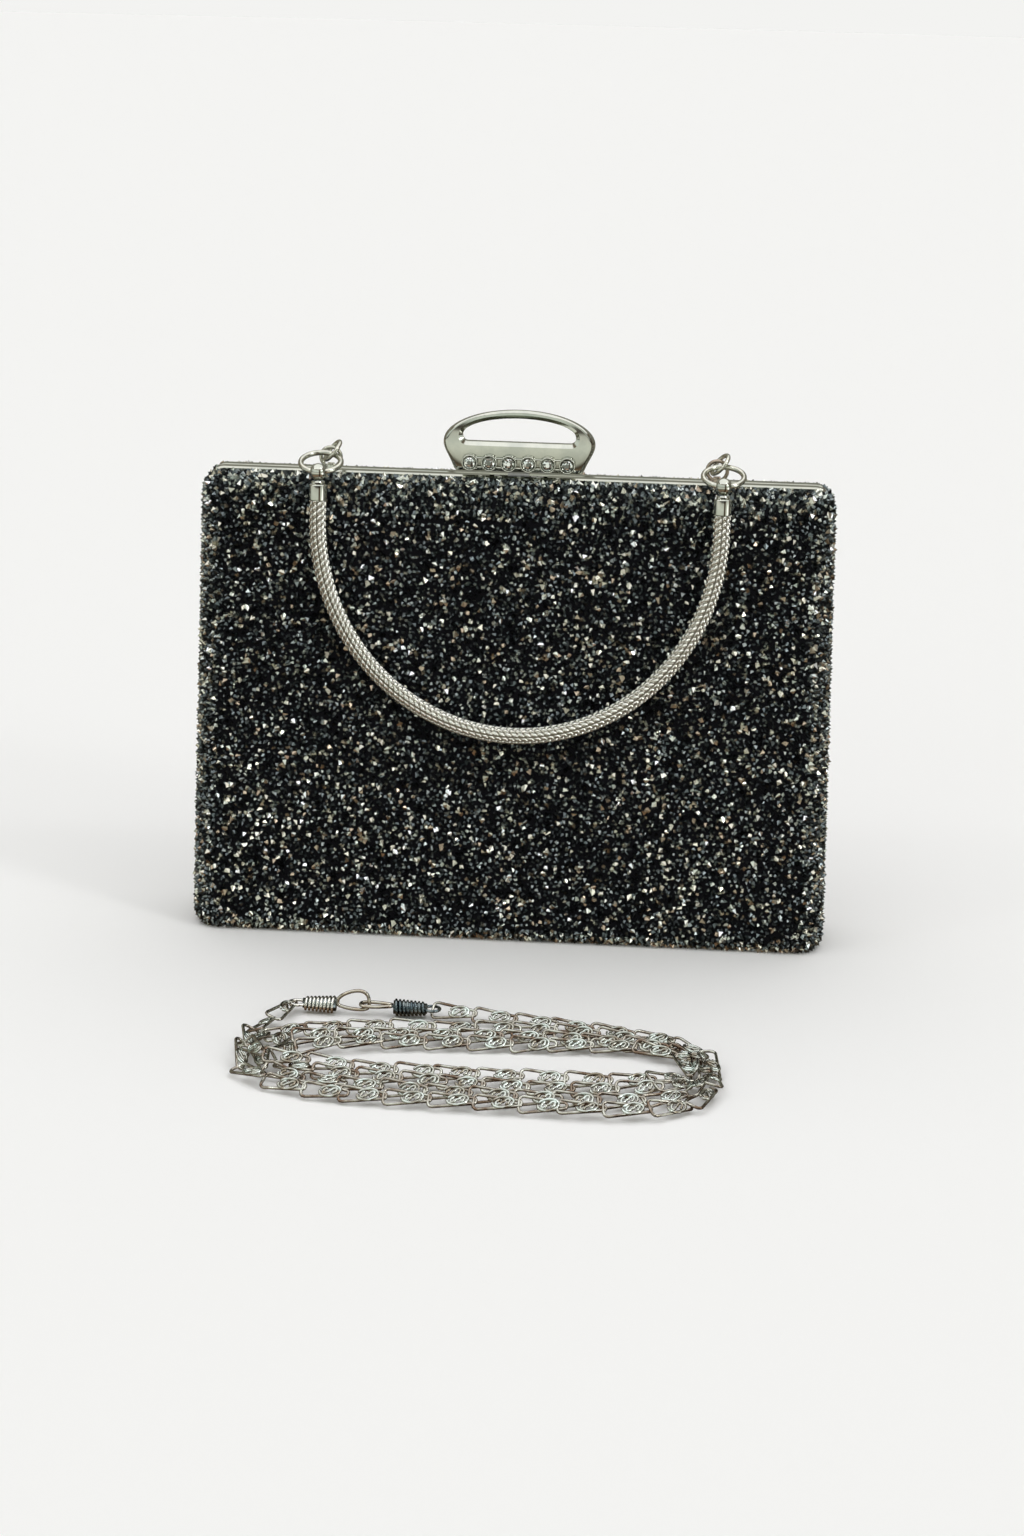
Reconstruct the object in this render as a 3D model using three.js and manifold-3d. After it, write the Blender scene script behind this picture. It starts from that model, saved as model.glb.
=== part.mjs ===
// Evening bag: a two-part hard case with a metal frame, a tilting clasp, a swinging
// handle on rings, and a loose chain strap. Millimetres, +Z up, front towards -Y.
import * as THREE from 'three';
import { mergeVertices } from 'three/addons/utils/BufferGeometryUtils.js';
import Module from 'manifold-3d';

const wasm = await Module();
wasm.setup();

// ---- driving dimensions -------------------------------------------------------------
const CASE_Y = 3.19;            // moves the case back, so that the whole stands on its origin
const HALF_WIDTH = 105;
const CASE_TOP = 156;
const TAPER = 0.022;            // the case narrows by this share from mid height to the top
const FACE_Y = 17;              // from the parting plane to the front or back face
const EDGE_Y = 4.8;             // where the covers meet the metal frame
const SIDE_BULGE = 8;
const SHOULDER = 12;
const BOTTOM_RADIUS = 5;
const CORNER_RADIUS = 5;
const COVER = [0, 1.5];         // each skin lies between two insets from the outside
const BOARD = [1.8, 3.8];
const LINING = [4.1, 5.0];
const PROFILE_ANGLES = [0, 25, 45, 62, 77, 90];

const FRAME = { half: 103.5, low: 4, top: CASE_TOP + 1, bar: 3.5, near: 0.15, far: 4.5, bevel: 0.5 };
const HINGE = { x: 70, z: 1.9, knuckle: 1.6, bore: 1, pin: 0.65, clear: 1.95, half: 9, mid: 3 };
const GAP = 0.3;

const CLASP = { y: -2.3, z: FRAME.top + 1.2, pivotZ: FRAME.top - 1.8, depth: 5.2, hole: 0.95, pin: 0.6 };
const ORNAMENT = { foot: 20.9, half: 24.8, waist: 9, dome: 11.4 };
const WINDOW = { half: 18.7, low: 9.9, side: 11.8, dome: 5.8, corner: 1.8 };
const STONE = { count: 6, pitch: 6.35, r: 2.15, bezel: 2.7, z: 3.2 };

const LUG = { x: 63, y: -3, z: FRAME.top + 7.3, wire: 0.6, r: 3.26 };
const HANDLE_SHIFT = 1.5;        // the handle, its rings and its lugs sit this far right of the middle
const LINK_ANGLE = 18;          // the rings lie forward and down by this many degrees
const RING_A = { r: 4.1, wire: 0.75, along: 2.45 };
const RING_B = { x: 65, r: 6.5, wire: 0.9, along: 10.48 };
const BALL = { x: 65, along: 16.98, r: 2.8, bore: 1.6 };
const CAP = { r: 2.9, start: 3.2, end: 8.9 };
const HANDLE = { r: 2.6, start: 9.2, faceY: -20.9, flatZ: CASE_TOP - 18, springZ: CASE_TOP - 13, low: 74 };

const HANK = { x: -1, y: -125, half: 76, depth: 36, band: 27, low: 0.3, top: 6.3 };
const LEVER = { half: 3.5, thick: 2, drop: 10.2, reach: 3.8, arm: 1.5, tip: 1, lip: 2 };
const BRACKET = { inner: 6.2, ear: 8, outer: 12, front: -4.2, back: -0.4, thick: 2, half: 1.4 };
const CATCH = { half: 8, post: 2.5, front: 1, back: 4.2, drop: 14.2, bar: 1.7 };
const SNAP = { x: -39, y: -84, z: 3.3, loop: 9.5, wire: 0.6, barrel: 10.5, r: 2.9, tip: 2.3 };

// ---- materials ----------------------------------------------------------------------
const material = (color, metalness, roughness) =>
  new THREE.MeshStandardMaterial({ color, metalness, roughness });
const CRYSTAL_CLOTH = material('#1b2026', 0.1, 0.5);
const SILVER = material('#cfd0cc', 1, 0.18);
const STEEL = material('#a9abad', 1, 0.35);
const CARD = material('#6d655a', 0, 0.9);
const SATIN = material('#15161a', 0, 0.6);
const GEM = material('#f3f5f7', 0, 0.05);

// ---- helpers ------------------------------------------------------------------------
const radians = THREE.MathUtils.degToRad;

function solid(geometry) {
  const plain = geometry.clone();
  plain.deleteAttribute('normal');
  plain.deleteAttribute('uv');
  const merged = mergeVertices(plain, 1e-4);
  return new wasm.Manifold(new wasm.Mesh({
    numProp: 3,
    vertProperties: new Float32Array(merged.attributes.position.array),
    triVerts: new Uint32Array(merged.index.array),
  }));
}

function geometryOf(manifold) {
  const mesh = manifold.getMesh();
  const geometry = new THREE.BufferGeometry();
  geometry.setAttribute('position', new THREE.BufferAttribute(mesh.vertProperties, 3));
  geometry.setIndex(new THREE.BufferAttribute(mesh.triVerts, 1));
  geometry.computeVertexNormals();
  return geometry;
}

function part(parent, name, geometry, look) {
  const mesh = new THREE.Mesh(geometry, look);
  mesh.name = name;
  parent.add(mesh);
  return mesh;
}

function box(x0, x1, y0, y1, z0, z1) {
  const geometry = new THREE.BoxGeometry(x1 - x0, y1 - y0, z1 - z0);
  return geometry.translate((x0 + x1) / 2, (y0 + y1) / 2, (z0 + z1) / 2);
}

// A cylinder along X between x0 and x1.
function rod(radius, x0, x1, y, z, sides = 16) {
  const geometry = new THREE.CylinderGeometry(radius, radius, x1 - x0, sides);
  return geometry.rotateZ(Math.PI / 2).translate((x0 + x1) / 2, y, z);
}

// Widens the case towards its base and narrows it towards its top.
const tapered = (x, z) => x * (1 + TAPER * (1 - (2 * z) / CASE_TOP));

function roundedOutline(half, low, top, radius, steps = 6) {
  const corners = [[half, low, -90], [half, top, 0], [-half, top, 90], [-half, low, 180]];
  return corners.flatMap(([x, z, start]) => {
    const centre = [x - Math.sign(x) * radius, z + (z === low ? radius : -radius)];
    return Array.from({ length: steps + 1 }, (_, step) => {
      const angle = radians(start + (90 * step) / steps);
      const [px, pz] = [centre[0] + radius * Math.cos(angle), centre[1] + radius * Math.sin(angle)];
      return [tapered(px, pz), pz];
    });
  });
}

// Joins outlines in the XZ plane, given in order of rising y, into one closed body.
function loft(levels) {
  const count = levels[0].outline.length;
  const points = levels.flatMap(({ y, outline }) => outline.flatMap(([x, z]) => [x, y, z]));
  const faces = [];
  for (let level = 0; level < levels.length - 1; level += 1) {
    for (let i = 0; i < count; i += 1) {
      const [a, b] = [level * count + i, level * count + ((i + 1) % count)];
      faces.push(a, a + count, b + count, a, b + count, b);
    }
  }
  const last = (levels.length - 1) * count;
  for (let i = 1; i < count - 1; i += 1) {
    faces.push(0, i, i + 1, last, last + i + 1, last + i);
  }
  const geometry = new THREE.BufferGeometry();
  geometry.setAttribute('position', new THREE.Float32BufferAttribute(points, 3));
  geometry.setIndex(faces);
  return geometry;
}

// One half of the case as a full body, inset all over; side is -1 at the front, 1 at the back.
function halfCase(inset, side, lip = 0) {
  const levels = PROFILE_ANGLES.map((degrees) => {
    const angle = radians(degrees);
    const out = EDGE_Y + (FACE_Y - EDGE_Y - inset) * Math.sin(angle);
    const fall = 1 - Math.cos(angle);
    const turn = Math.max(0, (out - (FACE_Y - inset - BOTTOM_RADIUS)) / BOTTOM_RADIUS);
    const rise = BOTTOM_RADIUS * (1 - Math.sqrt(Math.max(0, 1 - turn * turn)));
    const outline = roundedOutline(HALF_WIDTH - inset - SIDE_BULGE * fall, inset + rise,
      CASE_TOP - inset - SHOULDER * fall, CORNER_RADIUS - 0.4 * inset);
    return { y: side * out, outline };
  });
  if (lip) levels.unshift({ y: side * (EDGE_Y - lip), outline: levels[0].outline });
  return solid(loft(side < 0 ? levels.reverse() : levels));
}

const shell = ([outer, inner], side) =>
  geometryOf(halfCase(outer, side).subtract(halfCase(inner, side, 2)));

// ---- the two halves of the case -----------------------------------------------------
function frameRing(side) {
  const { half, low, top, bar, near, far, bevel } = FRAME;
  const level = (out, cut) => (
    { y: side * out, outline: roundedOutline(half - cut, low + cut, top - cut, 4.5) });
  const levels = [level(near, bevel), level(near + bevel, 0), level(far - bevel, 0), level(far, bevel)];
  const body = solid(loft(side < 0 ? levels.reverse() : levels));
  const inside = [near - 1, far + 1].map((out) => (
    { y: side * out, outline: roundedOutline(half - bar, low + bar, top - bar, 2) }));
  return body.subtract(solid(loft(side < 0 ? inside.reverse() : inside)));
}

function hingeLeaf(x, side) {
  const { z, knuckle, bore, clear, half, mid } = HINGE;
  const plateY = side < 0 ? [-4.4, 0] : [0, 4.4];
  const outer = [[x - half, x - mid - GAP / 2], [x + mid + GAP / 2, x + half]];
  const inner = [[x - mid + GAP / 2, x + mid - GAP / 2]];
  const [own, other] = side < 0 ? [outer, inner] : [inner, outer];
  let leaf = solid(box(x - half, x + half, ...plateY, 2.5, 3.6));
  other.forEach(([a, b]) => {
    leaf = leaf.subtract(solid(rod(clear, a - 2 * GAP, b + 2 * GAP, 0, z)));
  });
  own.forEach(([a, b]) => { leaf = leaf.add(solid(rod(knuckle, a, b, 0, z))); });
  return geometryOf(leaf.subtract(solid(rod(bore, x - half - 1, x + half + 1, 0, z))));
}

function addHalf(parent, name, side) {
  part(parent, `${name}_cover`, shell(COVER, side), CRYSTAL_CLOTH);
  part(parent, `${name}_board`, shell(BOARD, side), CARD);
  part(parent, `${name}_lining`, shell(LINING, side), SATIN);
  const notch = solid(box(-9.5, 9.5, -4.05, -0.1, FRAME.top - 5, FRAME.top + 2));
  const ring = frameRing(side);
  part(parent, `${name}_frame`, geometryOf(side < 0 ? ring.subtract(notch) : ring), SILVER);
  for (const [end, sign] of [['left', -1], ['right', 1]]) {
    part(parent, `${name}_hinge_leaf_${end}`, hingeLeaf(sign * HINGE.x, side), STEEL);
  }
}

// ---- clasp --------------------------------------------------------------------------
function ornamentShape() {
  const { foot, half, waist, dome } = ORNAMENT;
  const shape = new THREE.Shape();
  shape.moveTo(-foot, 0);
  shape.lineTo(foot, 0);
  shape.quadraticCurveTo(half, waist / 2, half, waist);
  shape.absellipse(0, waist, half, dome, 0, Math.PI);
  shape.quadraticCurveTo(-half, waist / 2, -foot, 0);
  const hole = new THREE.Path();
  hole.moveTo(-WINDOW.half + WINDOW.corner, WINDOW.low);
  hole.lineTo(WINDOW.half - WINDOW.corner, WINDOW.low);
  hole.quadraticCurveTo(WINDOW.half, WINDOW.low, WINDOW.half, WINDOW.side);
  hole.absellipse(0, WINDOW.side, WINDOW.half, WINDOW.dome, 0, Math.PI);
  hole.quadraticCurveTo(-WINDOW.half, WINDOW.low, -WINDOW.half + WINDOW.corner, WINDOW.low);
  shape.holes.push(hole);
  return shape;
}

function ornament() {
  const edge = 1;
  const geometry = new THREE.ExtrudeGeometry(ornamentShape(), {
    depth: CLASP.depth - 2 * edge, curveSegments: 12, bevelEnabled: true,
    bevelThickness: edge, bevelSize: 0.8, bevelOffset: -0.8, bevelSegments: 2 });
  geometry.rotateX(Math.PI / 2);
  return geometry.translate(0, CLASP.y + CLASP.depth / 2 - edge, CLASP.z);
}

// The row of cups that holds the stones, on the front of the ornament.
function stoneSetting(xs, y, z) {
  const reach = xs[xs.length - 1];
  let bar = solid(box(-reach, reach, y - 0.7, y, z - 1.1, z + 1.1));
  xs.forEach((x) => {
    const cup = new THREE.CylinderGeometry(STONE.bezel, STONE.bezel, 1.5, 20);
    bar = bar.add(solid(cup.translate(x, 0, 0).applyMatrix4(facing(y - 0.75, z))));
  });
  xs.forEach((x) => {
    const seat = new THREE.CylinderGeometry(STONE.r + GAP, STONE.r + GAP, 2, 20);
    bar = bar.subtract(solid(seat.translate(x, 0, 0).applyMatrix4(facing(y - 1.5, z))));
  });
  return geometryOf(bar);
}

// Keeps an upright cylinder's axis along Y at the given place.
const facing = (y, z) => new THREE.Matrix4().makeTranslation(0, y, z);

function stone() {
  const { r } = STONE;
  const profile = [[0, 0], [0.5 * r, 0], [r, 0.55], [0.62 * r, 1.05], [0, 1.05]];
  const geometry = new THREE.LatheGeometry(profile.map(([a, b]) => new THREE.Vector2(a, b)), 12);
  return geometry.rotateX(Math.PI);
}

function claspHook() {
  const { y, pivotZ, hole } = CLASP;
  const { half, thick, reach } = LEVER;
  const low = pivotZ - LEVER.drop;
  const front = y - thick / 2;
  const stem = solid(box(-half, half, front, front + thick, low, CLASP.z - GAP));
  const arm = solid(box(-half, half, front, reach, low, low + LEVER.arm));
  const tip = solid(box(-half, half, reach - LEVER.tip, reach, low - LEVER.lip, low + LEVER.arm));
  const bore = solid(rod(hole, -5, 5, y, pivotZ));
  return geometryOf(stem.add(arm).add(tip).subtract(bore));
}

function claspBracket(sign) {
  const xs = (a, b) => (sign < 0 ? [-b, -a] : [a, b]);
  const under = FRAME.top - FRAME.bar - GAP;
  const { inner, ear, outer, front, back, half } = BRACKET;
  const low = under - BRACKET.thick;
  const foot = solid(box(...xs(inner, outer), front, back, low, under));
  const tab = solid(box(...xs(inner, ear), CLASP.y - half, CLASP.y + half, low, FRAME.top - 0.2));
  const bore = solid(rod(CLASP.hole, ...xs(inner - 0.2, ear + 1), CLASP.y, CLASP.pivotZ));
  return geometryOf(foot.add(tab).subtract(bore));
}

function claspCatch() {
  const under = FRAME.top - FRAME.bar - GAP;
  const { half, post, front, back } = CATCH;
  const low = CLASP.pivotZ - CATCH.drop;
  const bar = solid(box(-half, half, front, back, low, low + CATCH.bar));
  const posts = [-half, half - post].map((x) => solid(box(x, x + post, front, back, low, under)));
  return geometryOf(bar.add(posts[0]).add(posts[1]));
}

function addClasp(parent) {
  part(parent, 'clasp_ornament', ornament(), SILVER);
  part(parent, 'clasp_hook', claspHook(), STEEL);
  part(parent, 'clasp_pivot_pin', rod(CLASP.pin, -8.2, 8.2, CLASP.y, CLASP.pivotZ), STEEL);
  part(parent, 'clasp_bracket_left', claspBracket(-1), STEEL);
  part(parent, 'clasp_bracket_right', claspBracket(1), STEEL);
  part(parent, 'clasp_catch', claspCatch(), STEEL);
  const coil = solid(rod(1.5, 3.85, 5.85, CLASP.y, CLASP.pivotZ));
  const coilBore = solid(rod(CLASP.hole, 3, 7, CLASP.y, CLASP.pivotZ));
  part(parent, 'clasp_spring', geometryOf(coil.subtract(coilBore)), STEEL);
  const front = CLASP.y - CLASP.depth / 2 - GAP;
  const xs = Array.from({ length: STONE.count }, (_, i) => (i - (STONE.count - 1) / 2) * STONE.pitch);
  const z = CLASP.z + STONE.z;
  part(parent, 'stone_setting', stoneSetting(xs, front, z), SILVER);
  xs.forEach((x, i) => {
    part(parent, `clasp_stone_${i + 1}`, stone(), GEM).position.set(x, front - 0.8, z);
  });
}

// ---- lugs, rings and handle ---------------------------------------------------------
const alongLinks = (distance) => {
  const angle = radians(LINK_ANGLE);
  return [LUG.y - distance * Math.cos(angle), LUG.z - distance * Math.sin(angle)];
};

function lug() {
  const eye = solid(new THREE.TorusGeometry(LUG.r, LUG.wire, 8, 24).rotateX(Math.PI / 2))
    .translate([0, LUG.y, LUG.z - LUG.r]);
  const foot = solid(box(-4, 4, LUG.y - 0.9, LUG.y + 0.9, FRAME.top + GAP, FRAME.top + GAP + 0.6));
  const below = solid(box(-9, 9, -9, 9, FRAME.top - 3, FRAME.top + GAP));
  return geometryOf(eye.add(foot).subtract(below));
}

// The handle's centreline: straight down from each ball, then round half an ellipse, with
// its ends leaning back over the shoulder of the case.
class HandleCurve extends THREE.Curve {
  constructor() {
    super();
    [this.ballY, this.ballZ] = alongLinks(BALL.along);
  }

  depthAt(z) {
    const rise = Math.max(0, (z - HANDLE.flatZ) / (this.ballZ - HANDLE.flatZ));
    return HANDLE.faceY + (this.ballY - HANDLE.faceY) * rise ** 1.6;
  }

  getPoint(t) {
    const startZ = this.ballZ - HANDLE.start;
    const straight = startZ - HANDLE.springZ;
    const bend = Math.PI * (BALL.x + HANDLE.springZ - HANDLE.low) / 2;
    const run = t * (2 * straight + bend);
    let x = -BALL.x;
    let z = startZ - run;
    if (run > straight + bend) {
      x = BALL.x;
      z = HANDLE.springZ + (run - straight - bend);
    } else if (run > straight) {
      const angle = Math.PI * (run - straight) / bend;
      x = -BALL.x * Math.cos(angle);
      z = HANDLE.springZ - (HANDLE.springZ - HANDLE.low) * Math.sin(angle);
    }
    return new THREE.Vector3(x, this.depthAt(z), z);
  }
}

function addHandle(parent) {
  const hung = new THREE.Group();
  hung.position.x = HANDLE_SHIFT;
  parent.add(hung);
  const [ballY, ballZ] = alongLinks(BALL.along);
  const curve = new HandleCurve();
  const sides = Array.from({ length: 10 }, (_, i) => (2 * Math.PI * i) / 10);
  const section = new THREE.Shape(
    sides.map((a) => new THREE.Vector2(HANDLE.r * Math.cos(a), HANDLE.r * Math.sin(a))));
  part(hung, 'handle_tube',
    new THREE.ExtrudeGeometry(section, { steps: 64, extrudePath: curve }), SILVER);
  const start = curve.getPoint(0);
  const lean = Math.atan2(ballY - start.y, ballZ - start.z);
  const ball = geometryOf(solid(new THREE.SphereGeometry(BALL.r, 16, 12))
    .subtract(solid(rod(BALL.bore, -4, 4, 0, 0))));
  const capSize = CAP.end - CAP.start;
  const cap = new THREE.CylinderGeometry(CAP.r, CAP.r, capSize, 18).rotateX(Math.PI / 2);
  cap.translate(0, 0, -(CAP.start + CAP.end) / 2).rotateX(-lean);
  const ringA = new THREE.TorusGeometry(RING_A.r, RING_A.wire, 8, 22).rotateY(Math.PI / 2);
  const ringB = new THREE.TorusGeometry(RING_B.r, RING_B.wire, 8, 26).rotateX(radians(LINK_ANGLE));
  for (const [end, sign] of [['left', -1], ['right', 1]]) {
    part(hung, `handle_lug_${end}`, lug(), SILVER).position.x = sign * LUG.x;
    const [aY, aZ] = alongLinks(RING_A.along);
    part(hung, `small_ring_${end}`, ringA, SILVER).position.set(sign * LUG.x, aY, aZ);
    const [bY, bZ] = alongLinks(RING_B.along);
    part(hung, `large_ring_${end}`, ringB, SILVER).position.set(sign * RING_B.x, bY, bZ);
    part(hung, `handle_ball_${end}`, ball, SILVER).position.set(sign * BALL.x, ballY, ballZ);
    part(hung, `handle_cap_${end}`, cap, SILVER).position.set(sign * BALL.x, ballY, ballZ);
  }
}

// ---- loose chain strap --------------------------------------------------------------
function stadium(half, depth, Path) {
  const path = new Path();
  path.moveTo(-(half - depth), -depth);
  path.lineTo(half - depth, -depth);
  path.absarc(half - depth, 0, depth, -Math.PI / 2, Math.PI / 2);
  path.lineTo(-(half - depth), depth);
  path.absarc(-(half - depth), 0, depth, Math.PI / 2, 1.5 * Math.PI);
  return path;
}

function addStrap(parent) {
  const outline = stadium(HANK.half, HANK.depth, THREE.Shape);
  outline.holes.push(stadium(HANK.half - HANK.band, HANK.depth - HANK.band, THREE.Path));
  const hank = new THREE.ExtrudeGeometry(outline,
    { depth: HANK.top - HANK.low, bevelEnabled: false, curveSegments: 12 });
  part(parent, 'chain_hank', hank, SILVER).position.set(HANK.x, HANK.y, HANK.low);
  const loop = new THREE.TorusGeometry(SNAP.loop / 2, SNAP.wire, 8, 20).scale(1, 0.62, 1);
  for (const [end, sign] of [['left', -1], ['right', 1]]) {
    const tilt = sign < 0 ? Math.PI / 2 : 0;
    const wire = part(parent, `snap_hook_${end}`, loop, SILVER);
    wire.position.set(SNAP.x + sign * SNAP.loop * 0.36, SNAP.y, SNAP.z + 0.5);
    wire.rotation.x = tilt;
    const barrel = new THREE.CylinderGeometry(
      sign < 0 ? SNAP.r : SNAP.tip, sign < 0 ? SNAP.tip : SNAP.r, SNAP.barrel, 14);
    const middle = SNAP.x + sign * (SNAP.loop * 0.86 + SNAP.wire + GAP + SNAP.barrel / 2);
    part(parent, `snap_barrel_${end}`, barrel.rotateZ(-Math.PI / 2), SILVER)
      .position.set(middle, SNAP.y, SNAP.z);
  }
}

// ---- assembly -----------------------------------------------------------------------
const bag = new THREE.Group();
bag.position.y = CASE_Y;
addHalf(bag, 'front', -1);
addHalf(bag, 'back', 1);
for (const [end, sign] of [['left', -1], ['right', 1]]) {
  const pin = rod(HINGE.pin, -HINGE.half - 0.4, HINGE.half + 0.4, 0, HINGE.z);
  part(bag, `hinge_pin_${end}`, pin, STEEL).position.x = sign * HINGE.x;
}
part(bag, 'slip_pocket', box(-60, 60, 10.4, 11.3, 12, 84), SATIN);
addClasp(bag);
addHandle(bag);

const strap = new THREE.Group();
addStrap(strap);

const group = new THREE.Group();
group.add(bag, strap);

export default group;
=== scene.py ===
"""Evening bag: crystals, metal, handle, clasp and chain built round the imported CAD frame.
Shapes are worked out in millimetres in the frame's axes and become metres in add_mesh."""
import math

import bpy
import numpy as np
from mathutils import Matrix, Vector


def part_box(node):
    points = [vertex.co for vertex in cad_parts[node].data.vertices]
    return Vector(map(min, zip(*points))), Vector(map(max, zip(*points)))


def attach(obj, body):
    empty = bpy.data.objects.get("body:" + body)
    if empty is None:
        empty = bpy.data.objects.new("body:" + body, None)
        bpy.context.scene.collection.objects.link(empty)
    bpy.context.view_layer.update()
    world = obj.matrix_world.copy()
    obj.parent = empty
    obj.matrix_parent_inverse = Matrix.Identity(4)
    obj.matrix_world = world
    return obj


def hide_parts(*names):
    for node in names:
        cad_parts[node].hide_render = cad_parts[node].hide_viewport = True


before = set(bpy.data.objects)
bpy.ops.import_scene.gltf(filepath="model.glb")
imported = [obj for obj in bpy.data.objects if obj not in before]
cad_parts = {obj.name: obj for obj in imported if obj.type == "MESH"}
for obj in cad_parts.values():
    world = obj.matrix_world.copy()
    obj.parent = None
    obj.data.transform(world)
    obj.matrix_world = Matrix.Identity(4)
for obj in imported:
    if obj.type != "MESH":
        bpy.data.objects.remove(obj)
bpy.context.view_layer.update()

MM = 0.001
rng = np.random.default_rng(7)


def box(node):
    """A CAD node's lowest and highest corners, in millimetres."""
    low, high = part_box(node)
    return np.array(low) / MM, np.array(high) / MM


# ---- sizes, from the frame where it has them -----------------------------------------
# The plane where the halves meet, the case's top, and how far a cover's edge and face are from that plane.
CASE_Y = (box("front_frame")[1][1] + box("back_frame")[0][1]) / 2
CASE_TOP = box("front_cover")[1][2]
EDGE_Y = CASE_Y - box("front_cover")[1][1]
FACE_Y = CASE_Y - box("front_cover")[0][1]
# The case's half width at mid height, its taper, and how far its sides and top fall in from edge to face.
HALF_WIDTH, TAPER, SIDE_BULGE, SHOULDER = 105.0, 0.022, 8.0, 12.0
BOTTOM_RADIUS, CORNER_RADIUS = 5.0, 5.0
BALLS = np.array([np.mean(box(f"handle_ball_{end}"), axis=0) for end in ("left", "right")])
ORNAMENT = box("clasp_ornament")
LINK_TILT = math.radians(18)  # how far the large rings' plane leans down to the front


def middle_of(node):
    """The middle of a CAD node's box, in millimetres."""
    return np.mean(box(node), axis=0)


# ---- camera ---------------------------------------------------------------------------
def make_camera():
    """Seen from 17 degrees above and 3 degrees right of the front, turned by 1.5 degrees."""
    azimuth, elevation, roll = (math.radians(a) for a in (3.32, 17.0, 1.48))
    distance, focal_length = 0.9, 62.63
    target = Vector((0.00035, 0.0, 0.0575))
    back = Vector((math.sin(azimuth) * math.cos(elevation),
                   -math.cos(azimuth) * math.cos(elevation), math.sin(elevation)))
    data = bpy.data.cameras.new("camera")
    data.sensor_width, data.lens = 36.0, focal_length
    data.clip_start, data.clip_end = 0.01, 100.0
    camera = bpy.data.objects.new("camera", data)
    upright = back.to_track_quat("Z", "Y").to_matrix().to_4x4()
    turned = Matrix.Rotation(roll, 4, back) @ upright
    camera.matrix_world = Matrix.Translation(target + back * distance) @ turned
    bpy.context.scene.collection.objects.link(camera)
    bpy.context.scene.camera = camera


# ---- materials ------------------------------------------------------------------------
def material(name, color, metallic=0.0, roughness=0.5, sheen=0.0, specular=0.5):
    """A material of one colour, on which textures can be laid."""
    made = bpy.data.materials.new(name)
    made.use_nodes = True
    shader = made.node_tree.nodes["Principled BSDF"]
    shader.inputs["Base Color"].default_value = (*color, 1.0)
    shader.inputs["Metallic"].default_value = metallic
    shader.inputs["Roughness"].default_value = roughness
    shader.inputs["Sheen Weight"].default_value = sheen
    shader.inputs["Specular IOR Level"].default_value = specular
    return made


def texture(made, kind, scale, **settings):
    """A texture node in object coordinates, whose scale is in repeats per metre."""
    tree = made.node_tree
    place = tree.nodes.new("ShaderNodeTexCoord")
    node = tree.nodes.new(kind)
    node.inputs["Scale"].default_value = scale
    for key, value in settings.items():
        node.inputs[key].default_value = value
    tree.links.new(place.outputs["Object"], node.inputs["Vector"])
    return node


def vary_color(made, node, output, low, high, span=(0.0, 1.0)):
    """Mixes two colours into the base colour by a texture, over a span of its values."""
    tree = made.node_tree
    ramp = tree.nodes.new("ShaderNodeValToRGB")
    ramp.color_ramp.elements[0].color = (*low, 1)
    ramp.color_ramp.elements[1].color = (*high, 1)
    ramp.color_ramp.elements[0].position, ramp.color_ramp.elements[1].position = span
    tree.links.new(node.outputs[output], ramp.inputs["Fac"])
    tree.links.new(ramp.outputs["Color"], tree.nodes["Principled BSDF"].inputs["Base Color"])


def vary_roughness(made, node, output, low, high):
    """Lets a texture move the roughness between two values."""
    tree = made.node_tree
    spread = tree.nodes.new("ShaderNodeMapRange")
    spread.inputs["To Min"].default_value = low
    spread.inputs["To Max"].default_value = high
    tree.links.new(node.outputs[output], spread.inputs["Value"])
    tree.links.new(spread.outputs["Result"], tree.nodes["Principled BSDF"].inputs["Roughness"])


def add_bump(made, node, output, strength, depth):
    """Lets a texture raise the surface, by a depth in metres."""
    tree = made.node_tree
    bump = tree.nodes.new("ShaderNodeBump")
    bump.inputs["Strength"].default_value = strength
    bump.inputs["Distance"].default_value = depth
    tree.links.new(node.outputs[output], bump.inputs["Height"])
    tree.links.new(bump.outputs["Normal"], tree.nodes["Principled BSDF"].inputs["Normal"])


BRUSHED_SPAN = (0.36, 0.64)  # the values that most of the noise takes


def brushed(name, color, roughness, grain=900.0, warm=None):
    """A metal whose colour and gloss change a little over a grain, in repeats per metre."""
    made = material(name, color, metallic=1.0, roughness=roughness)
    noise = texture(made, "ShaderNodeTexNoise", grain, Detail=4.0)
    vary_roughness(made, noise, "Fac", roughness * 0.6, roughness * 1.6)
    vary_color(made, noise, "Fac", [c * 0.9 for c in color], warm or color, BRUSHED_SPAN)
    return made


SILVER = brushed("polished_silver", (0.60, 0.62, 0.56), 0.07, 200.0, (0.64, 0.65, 0.58))
RING_WIRE = brushed("ring_wire", (0.60, 0.61, 0.54), 0.14, 500.0, (0.70, 0.69, 0.60))
KNIT = brushed("knitted_silver", (0.90, 0.90, 0.83), 0.11, 900.0, (0.97, 0.96, 0.92))
# The knit's grooves get a darker khaki metal: painted shade between the stitches.
KNIT_GROOVE_SHADE = material("knit_groove_painted_shade", (0.20, 0.175, 0.125), metallic=0.6, roughness=0.5)
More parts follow.
